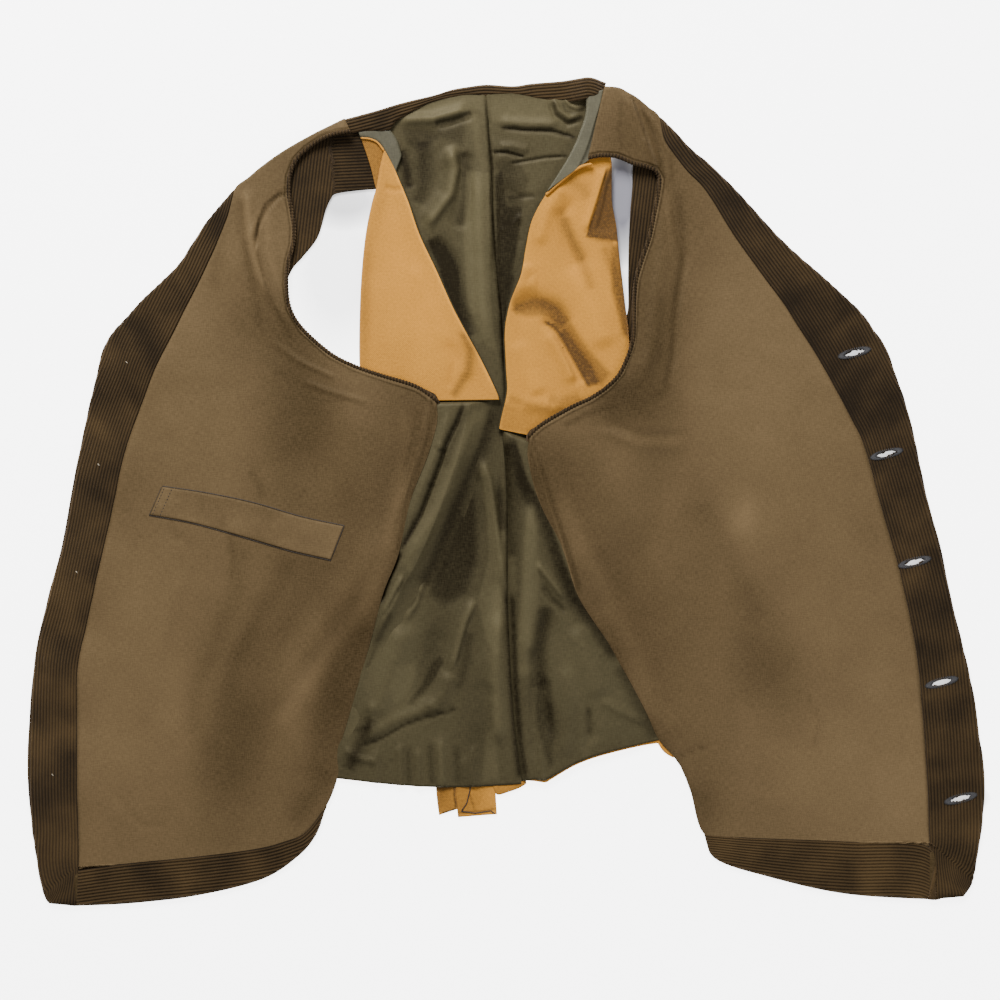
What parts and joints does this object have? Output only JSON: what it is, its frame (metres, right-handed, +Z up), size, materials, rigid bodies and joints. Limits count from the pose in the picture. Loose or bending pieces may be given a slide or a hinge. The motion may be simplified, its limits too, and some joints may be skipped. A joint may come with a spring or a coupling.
{
  "type": "work waistcoat",
  "caption": "Work waistcoat opened out flat with its lining up, corduroy fronts and facings, folded two-layer back and a neck band.",
  "frame": {"origin": "on the surface the garment lies on, under the middle of its outline", "axes": "+Z up off the surface, +Y towards the neck, +X towards the front with the buttonholes"},
  "size_m": [0.7442, 0.6436, 0.0106],
  "materials": {
    "corduroy": "matt ribbed pile",
    "sateen": "soft sheen, cotton sateen",
    "satin": "satin",
    "twill": "matt cotton twill",
    "button": "satin"
  },
  "bodies": {
    "root": {"front_outer_right": "corduroy", "front_outer_left": "corduroy", "front_facing_right": "corduroy", "front_facing_left": "corduroy", "hem_facing_right": "corduroy", "hem_facing_left": "corduroy", "neck_band": "corduroy", "front_lining_right": "sateen", "front_lining_left": "sateen", "inner_pocket_welt": "sateen", "back_lining_right": "satin", "back_lining_left": "satin", "back_outer_right": "twill", "back_outer_left": "twill", "waist_strap_1": "twill", "waist_strap_2": "twill", "button_1": "button", "button_2": "button", "button_3": "button", "button_4": "button", "button_5": "button"}
  },
  "joints": []
}
